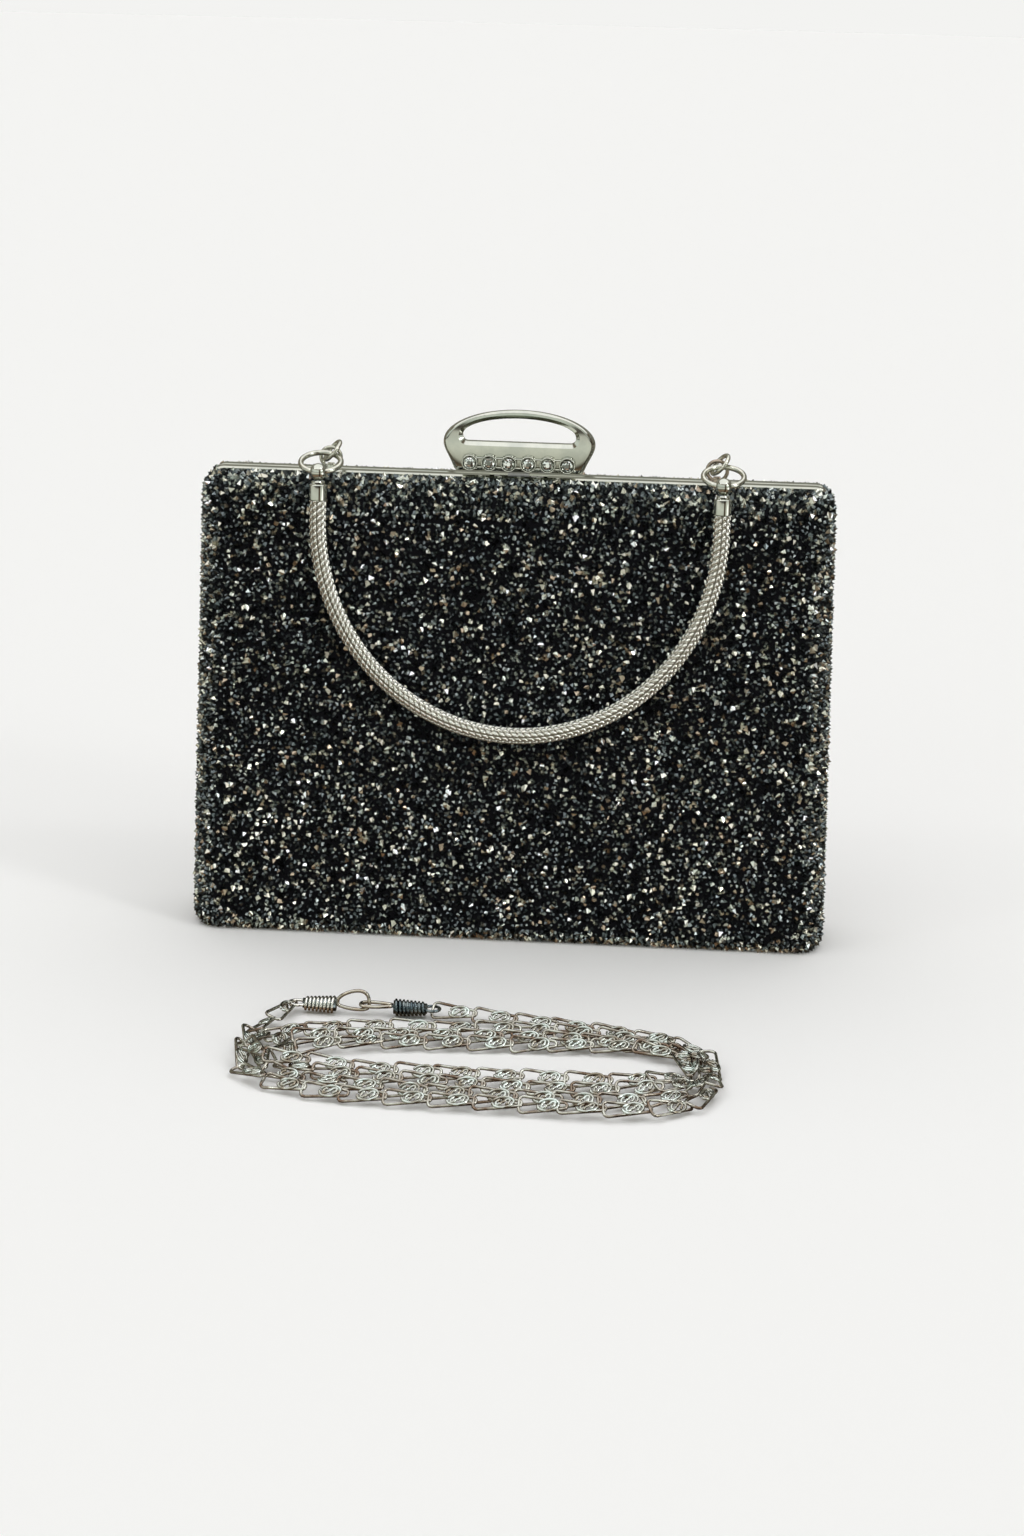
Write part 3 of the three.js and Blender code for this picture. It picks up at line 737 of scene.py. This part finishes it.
def add_handle_ends():
    """At each end a ball with a hole for the large ring, and a cap over the tube's end."""
    path, _ = handle_path(400)
    ball_radius, hole = 2.78, (1.4, 1.9)
    for end, ball, spot in (("left", BALLS[0], path[0]), ("right", BALLS[1], path[-1])):
        away = Vector(spot - ball).normalized()
        section = [(ball_radius * math.cos(a), ball_radius * math.sin(a))
                   for a in np.linspace(-1.05, 1.05, 19)]
        section += [hole, (hole[0], 0), (hole[0], -hole[1])]
        shape = moved(turned_ring(section, 40), place(ball, (1, 0, 0), (0, 0, 1)))
        add_mesh(f"ball_{end}", *shape, SILVER, "handle", "silver_metal", replaced=(f"handle_ball_{end}",))
        profile = [(0, 2.9), (2.0, 2.9), (2.2, 3.3), (2.2, 3.9), (2.7, 4.05), (2.88, 4.3), (2.88, 8.6),
                   (2.8, 9.0), (0, 9.05)]
        shape = moved(lathe(profile, 36), place(ball, away))
        cap = add_mesh(f"cap_{end}", *shape, SILVER, "handle", "silver_metal",
                       replaced=(f"handle_cap_{end}",))
        cap.data.set_sharp_from_angle(angle=math.radians(24))


# ---- chain strap ----------------------------------------------------------------------
# A link's length and width, its wire's radius, and the laps that the hank is counted in.
CHAIN = {"pitch": 12.7, "width": 6.2, "wire": 0.48, "laps": 4}
EYE_REACH = 3.0  # from a barrel's end to the chain's, and the height of both
LEAVING = 0.075  # the share of the laps in which the chain goes in from the left hook
SQUARE_X, SQUARE_Y = 0.62, 0.72  # powers of the cosine and sine; 1 would make the laps ellipses


def hank_path():
    """The chain's centreline: from the left hook, nearly four times round the hank, to the right hook.
    The first lap lies furthest in and the last one furthest out."""
    low, high = box("chain_hank")
    left, right = box("snap_barrel_left"), box("snap_barrel_right")
    start = np.array([left[0][0] - EYE_REACH, middle_of("snap_barrel_left")[1], EYE_REACH])
    finish = np.array([right[1][0] + EYE_REACH, middle_of("snap_barrel_right")[1], EYE_REACH])
    points = [start, start + (-6.0, -1.0, 0.0)]
    first, last = math.radians(142), math.radians(72 + 360 * CHAIN["laps"])
    for turn in np.linspace(first, last, 60 * CHAIN["laps"]):
        share = (turn - first) / (last - first)
        outward = min(1.0, share / LEAVING)
        inner = 1.06 * (1 - share) * (3 * outward ** 2 - 2 * outward ** 3)
        c, s = math.cos(turn), math.sin(turn)
        left_x, right_x = low[0] + 1.0 + 22.0 * inner, high[0] - 4.0 - 10.0 * inner
        x = (left_x + right_x) / 2 + (right_x - left_x) / 2 * math.copysign(abs(c) ** SQUARE_X, c)
        back = high[1] - 3.5 - 19.0 * inner + 0.1 * inner * x
        front = high[1] - 67.5 + 25.0 * inner - 0.04 * x * (1 - inner)
        sway = 0.9 * math.sin(2.6 * turn + 0.4) + 0.6 * math.sin(6.3 * turn)
        y = (back + front) / 2 + ((back - front) / 2 + sway) * math.copysign(abs(s) ** SQUARE_Y, s)
        z = 2.9 + 0.4 * math.sin(3.7 * turn + 1.1) + 2.2 * math.sin(math.pi * outward) ** 2
        points.append(np.array([x, y, z]))
    points += [finish + (9.0, -0.6, 0.0), finish]
    points = np.array(points)
    for _ in range(4):
        points[1:-1] = 0.25 * points[:-2] + 0.5 * points[1:-1] + 0.25 * points[2:]
    return evenly(points, 640)


def arc(cx, cy, rx, ry, start, end, step=20):
    """Points of an elliptical arc, its angles in degrees."""
    angles = np.radians(np.linspace(start, end, max(3, int(abs(end - start) / step) + 1)))
    return [(cx + rx * math.cos(a), cy + ry * math.sin(a)) for a in angles]


def link_wires(pitch, width):
    """One link's wires, flat: a long loop from its open eye to a narrow nose, and an S scroll."""
    eye_x, nose_x = -0.54 * pitch, 0.56 * pitch
    w = width / 2 - 0.4
    loop = arc(eye_x + 1.4, w - 1.4, 1.4, 1.4, 180, 90, 30) + arc(nose_x - 0.9, 0.3, 0.9, 1.0, 80, -80, 30)
    loop += arc(eye_x + 1.4, -w + 1.4, 1.4, 1.4, 270, 180, 30)
    ring_x, rx, ry = 1.7, 3.0, 1.95
    oval = [(x + 0.35 * y, y) for x, y in arc(ring_x, 0, rx, ry, 165, -170, 18)]
    scroll = arc(ring_x - 1.0, -0.1, 0.8, 1.0, 120, 370, 24) + arc(ring_x + 1.0, 0.1, 0.8, 1.0, 190, -60, 24)
    scroll = [(x + 0.55 * y, y) for x, y in scroll]
    thin = 0.88 * CHAIN["wire"]
    return [(loop, 0.0, CHAIN["wire"], True), (oval, 0.55, thin, False), (scroll, 0.62, thin, False)]


def add_chain():
    """Scroll links along the hank, each leaning towards the front, and the cord they make.
    They lie most evenly on the two long sides and most freely at the bends."""
    path, length = hank_path()
    tangent = frames_along(path)[0]
    count = round(length / CHAIN["pitch"])
    wires = link_wires(length / count, CHAIN["width"])
    shapes, sorts = [], []
    for k in range(count):
        index = int((k + 0.5) * len(path) / count)
        along = tangent[index] * (1 if tangent[index][0] >= 0 else -1)
        along[2] += rng.normal(0, 0.3 * (1 - along[0] ** 2))
        along /= np.linalg.norm(along)
        across = np.cross((0.0, 0.0, 1.0), along)
        across /= np.linalg.norm(across)
        lean = math.radians(34 * along[0] ** 2 + rng.normal(0, 10 + 18 * (1 - along[0] ** 2)))
        side = across * math.cos(lean) + np.array([0, 0, math.sin(lean)])
        up = np.cross(along, side)
        for line, height, thick, closed in wires:
            spots = [path[index] + along * x + side * y + up * height for x, y in line]
            shapes.append(wire(spots, thick, 8, closed))
            # Closed loops take the darker copy as painted shade, the scrolls the bright one.
            sorts += [int(closed)] * len(shapes[-1][1])
    points, faces = join(shapes)
    points[:, 2] = np.maximum(points[:, 2], 0.02)
    chain = add_mesh("scroll_chain", points, faces, [CHAIN_WIRE, CHAIN_LOOP_SHADE], "strap", "chain_metal",
                     sorts=sorts, replaced=("chain_hank",))
    return chain, path, length


def add_barrel(end, sign, look):
    """A tapered winding round a dark core, with a wire eye for the chain at its outer end."""
    low, high = box(f"snap_barrel_{end}")
    middle = (low + high) / 2
    inner_x, outer_x = (low[0], high[0]) if sign > 0 else (high[0], low[0])
    length = abs(outer_x - inner_x)
    turns, steps = 8, 20
    share = np.linspace(0, 1, turns * steps + 1)
    angle = 2 * math.pi * share * turns
    radius = 2.46 - 0.6 * share
    coil = np.stack([inner_x + (outer_x - inner_x) * (0.045 + 0.91 * share),
                     middle[1] + radius * np.cos(angle), middle[2] - 0.1 + radius * np.sin(angle)], axis=1)
    eye = [(outer_x + sign * (1.6 - 2.4 * math.cos(a)), middle[1] + 2.2 * math.sin(a), middle[2])
           for a in np.linspace(0, 2 * math.pi, 32, endpoint=False)]
    core = lathe([(0, 0), (2.2, 0), (1.6, length), (0, length)], 20)
    core = moved(core, place((inner_x, middle[1], middle[2]), (sign, 0, 0), (0, 0, 1)))
    outside = join([wire(coil, 0.42, 8), wire(eye, 0.5, 8, True)])
    points, faces = join([outside, core])
    sorts = [0] * len(outside[1]) + [1] * len(core[1])
    return add_mesh(f"wound_barrel_{end}", points, faces, [look, BARREL_DARK], "strap", "silver_metal",
                    sorts=sorts, replaced=(f"snap_barrel_{end}",))


def add_hook(end):
    """A closed wire loop that widens away from its barrel: the left one stands and the right one lies."""
    low, high = box(f"snap_hook_{end}")
    middle = (low + high) / 2
    near, far = (low[0] + 0.1, high[0] - 0.6) if end == "left" else (high[0] - 0.1, low[0] + 0.6)
    line = []
    for a in np.linspace(-math.pi, math.pi, 48, endpoint=False):
        reach = 0.5 + 0.5 * math.cos(a)
        wide = math.copysign(abs(math.sin(a)) ** 0.7, math.sin(a)) * (0.55 + 0.45 * reach)
        flat, tall = (0.0, wide * (5.4 if wide > 0 else 2.3)) if end == "left" else (2.4 * wide, 0.0)
        line.append((near + (far - near) * reach, middle[1] + flat, middle[2] + tall))
    return add_mesh(f"wire_hook_{end}", *wire(line, 0.58, 12, True), HOOK_WIRE, "strap", "silver_metal",
                    replaced=(f"snap_hook_{end}",))


def add_snap_hooks():
    """The two wire hooks, each bound by its winding."""
    pieces = []
    for end, sign, look in (("left", -1, KNIT), ("right", 1, BARREL_DARK)):
        pieces += [add_barrel(end, sign, look), add_hook(end)]
    return pieces


# ---- lining pocket --------------------------------------------------------------------
def add_pocket():
    """A satin panel of two layers, slack in the middle of its open top and puckered along its bottom."""
    low, high = box("slip_pocket")
    cols, rows = 61, 37
    half_thick, hem_from, hem = 0.35, 0.94, 0.25
    points = []
    for layer in (0, 1):
        for j in range(rows):
            v = j / (rows - 1)
            for i in range(cols):
                u = i / (cols - 1)
                slack = -0.9 * math.sin(math.pi * u) * v ** 2
                pucker = 0.12 * math.sin(46 * u) * (1 - v)
                y = (low[1] + high[1]) / 2 + slack + pucker + (half_thick if layer else -half_thick)
                if v > hem_from:
                    y += hem if layer else -hem
                points.append((low[0] + (high[0] - low[0]) * u, y, low[2] + (high[2] - low[2]) * v))
    half = rows * cols
    faces = grid_faces(rows, cols, close_cols=False)
    faces += [tuple(half + i for i in f[::-1]) for f in grid_faces(rows, cols, close_cols=False)]
    border = (list(range(cols)) + [cols * (j + 1) - 1 for j in range(1, rows)]
              + [cols * rows - 1 - i for i in range(1, cols)] + [cols * j for j in range(rows - 2, 0, -1)])
    for a, b in zip(border, border[1:] + border[:1]):
        faces.append((a, half + a, half + b, b))
    pocket = add_mesh("pocket_panel", points, faces, SATIN, "back_half", "satin_lining",
                      replaced=("slip_pocket",))


# ---- materials of the CAD nodes that stay ----------------------------------------------
def dress_nodes():
    """Cloth, board, satin and frame metal by the ends of the nodes' names, and steel on all others."""
    looks = {"cover": GROUND_CLOTH, "board": BOARD, "lining": SATIN, "frame": FRAME_PLATE}
    for name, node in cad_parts.items():
        look = next((value for key, value in looks.items() if name.endswith(key)), STEEL)
        node.data.materials.clear()
        node.data.materials.append(look)


# ---- stage ----------------------------------------------------------------------------
def add_scenery(name, points, faces, look):
    """A mesh of the stage, in metres."""
    data = bpy.data.meshes.new(name)
    data.from_pydata(points, [], faces)
    data.materials.append(look)
    piece = bpy.data.objects.new(name, data)
    bpy.context.scene.collection.objects.link(piece)
    return piece


def make_stage():
    """A matt white floor, and a plain pale wall far round it that only the camera sees."""
    reach = 30.0
    corners = [(-reach, -reach, 0), (reach, -reach, 0), (reach, reach, 0), (-reach, reach, 0)]
    look = material("floor_white", (0.94, 0.94, 0.94), roughness=1.0, specular=0.0)
    floor = add_scenery("floor", corners, [(0, 1, 2, 3)], look)
    floor.visible_glossy = False
    reach = 12.0
    angle = np.linspace(0, 2 * math.pi, 48, endpoint=False)
    ring = [(reach * math.cos(a), reach * math.sin(a)) for a in angle]
    points = [(x, y, z) for z in (-reach, reach) for x, y in ring]
    look = material("backdrop_white", (0.0, 0.0, 0.0), roughness=1.0, specular=0.0)
    shader = look.node_tree.nodes["Principled BSDF"]
    shader.inputs["Emission Color"].default_value = (0.896, 0.896, 0.879, 1.0)
    shader.inputs["Emission Strength"].default_value = 1.0
    wall = add_scenery("backdrop", points, grid_faces(2, len(ring)), look)
    wall.visible_diffuse = wall.visible_glossy = wall.visible_shadow = wall.visible_transmission = False


def color_ramp(tree, value, stops):
    """Colours by a value, from (value, colour) stops in rising order."""
    ramp = tree.nodes.new("ShaderNodeValToRGB")
    elements = ramp.color_ramp.elements
    for _ in range(len(stops) - 2):
        elements.new(0.5)
    for element, (place_at, color) in zip(elements, stops):
        element.position, element.color = place_at, (*color, 1.0)
    tree.links.new(value, ramp.inputs["Fac"])
    return ramp.outputs["Color"]


def world_math(tree, operation, first, second=None):
    """A sum in the world's nodes, of numbers or of other nodes' outputs."""
    node = tree.nodes.new("ShaderNodeMath")
    node.operation = operation
    for socket, value in zip(node.inputs, (first, second)):
        if isinstance(value, (int, float)):
            socket.default_value = value
        elif value is not None:
            tree.links.new(value, socket)
    return node.outputs[0]


def add_lamps(tree, lamps):
    """Small round lamps in the world, each by its direction, angular radius in degrees and strength."""
    direction = tree.nodes["Texture Coordinate"].outputs["Generated"]
    light = tree.nodes["Background"].outputs[0]
    for toward, radius, strength in lamps:
        dot = tree.nodes.new("ShaderNodeVectorMath")
        dot.operation = "DOT_PRODUCT"
        dot.inputs[1].default_value = Vector(toward).normalized()
        tree.links.new(direction, dot.inputs[0])
        disc = tree.nodes.new("ShaderNodeMapRange")
        disc.inputs["From Min"].default_value = math.cos(math.radians(radius * 1.15))
        disc.inputs["From Max"].default_value = math.cos(math.radians(radius))
        disc.inputs["To Max"].default_value = strength
        tree.links.new(dot.outputs["Value"], disc.inputs["Value"])
        glow = tree.nodes.new("ShaderNodeBackground")
        tree.links.new(disc.outputs["Result"], glow.inputs["Strength"])
        both = tree.nodes.new("ShaderNodeAddShader")
        tree.links.new(light, both.inputs[0])
        tree.links.new(glow.outputs[0], both.inputs[1])
        light = both.outputs[0]
    tree.links.new(light, tree.nodes["World Output"].inputs["Surface"])


LAMPS = [((0.55, -0.35, 0.76), 3.5, 11.0), ((-0.62, -0.45, 0.64), 3.0, 9.0),
         ((0.78, -0.50, 0.42), 5.0, 11.0), ((0.886, -0.358, -0.292), 12.0, 1.5)]


def make_light():
    """A room as a world: bands of light by height, dark stretches by side that end overhead, and lamps."""
    world = bpy.data.worlds.new("studio")
    bpy.context.scene.world = world
    world.use_nodes = True
    tree = world.node_tree
    place_node = tree.nodes.new("ShaderNodeTexCoord")
    parts = tree.nodes.new("ShaderNodeSeparateXYZ")
    tree.links.new(place_node.outputs["Generated"], parts.inputs[0])
    x, y, z = parts.outputs
    height = world_math(tree, "MULTIPLY_ADD", z, 0.5)
    height.node.inputs[2].default_value = 0.5
    by_height = color_ramp(tree, height, [
        (0.00, (0.06, 0.045, 0.03)), (0.18, (0.26, 0.18, 0.12)), (0.27, (0.06, 0.045, 0.03)),
        (0.31, (0.48, 0.48, 0.41)), (0.44, (0.68, 0.70, 0.63)), (0.485, (0.57, 0.57, 0.51)),
        (0.495, (0.03, 0.022, 0.018)), (0.515, (0.05, 0.04, 0.03)), (0.53, (0.57, 0.61, 0.56)),
        (0.75, (0.64, 0.68, 0.64)), (0.775, (0.14, 0.11, 0.08)), (0.825, (0.16, 0.13, 0.10)),
        (0.845, (0.98, 0.98, 0.98)), (1.00, (1.0, 1.0, 1.0))])
    around = world_math(tree, "ARCTAN2", x, world_math(tree, "MULTIPLY", y, -1.0))
    around = world_math(tree, "MULTIPLY_ADD", around, 0.5 / math.pi)
    around.node.inputs[2].default_value = 0.5
    by_side = color_ramp(tree, around, [
        (0.00, (0.35, 0.33, 0.3)), (0.20, (0.30, 0.25, 0.2)), (0.26, (0.75, 0.75, 0.75)),
        (0.33, (1.0, 1.0, 1.0)), (0.535, (0.9, 0.9, 0.9)), (0.548, (0.10, 0.07, 0.05)),
        (0.595, (0.16, 0.11, 0.08)), (0.61, (1.0, 1.0, 1.0)), (0.70, (1.0, 1.0, 1.0)),
        (0.72, (0.15, 0.11, 0.09)), (0.80, (0.25, 0.22, 0.2)), (1.00, (0.35, 0.33, 0.3))])
    mix = tree.nodes.new("ShaderNodeMix")
    mix.data_type, mix.blend_type = "RGBA", "MULTIPLY"
    fade = tree.nodes.new("ShaderNodeMapRange")
    fade.inputs["From Min"].default_value, fade.inputs["From Max"].default_value = 0.62, 0.45
    tree.links.new(z, fade.inputs["Value"])
    tree.links.new(fade.outputs["Result"], mix.inputs[0])
    tree.links.new(by_height, mix.inputs[6])
    tree.links.new(by_side, mix.inputs[7])
    tree.links.new(mix.outputs[2], tree.nodes["Background"].inputs["Color"])
    tree.nodes["Background"].inputs["Strength"].default_value = 1.33
    add_lamps(tree, LAMPS)
    bpy.context.scene.view_settings.view_transform = "Standard"


# ---- build ----------------------------------------------------------------------------
make_camera()
chain, chain_path, chain_length = add_chain()
snap_pieces = add_snap_hooks()
dress_nodes()
add_cover_crystals()
add_ornament()
add_setting()
add_stones()
add_links()
add_handle_tube()
add_handle_ends()
add_pocket()
make_stage()
make_light()
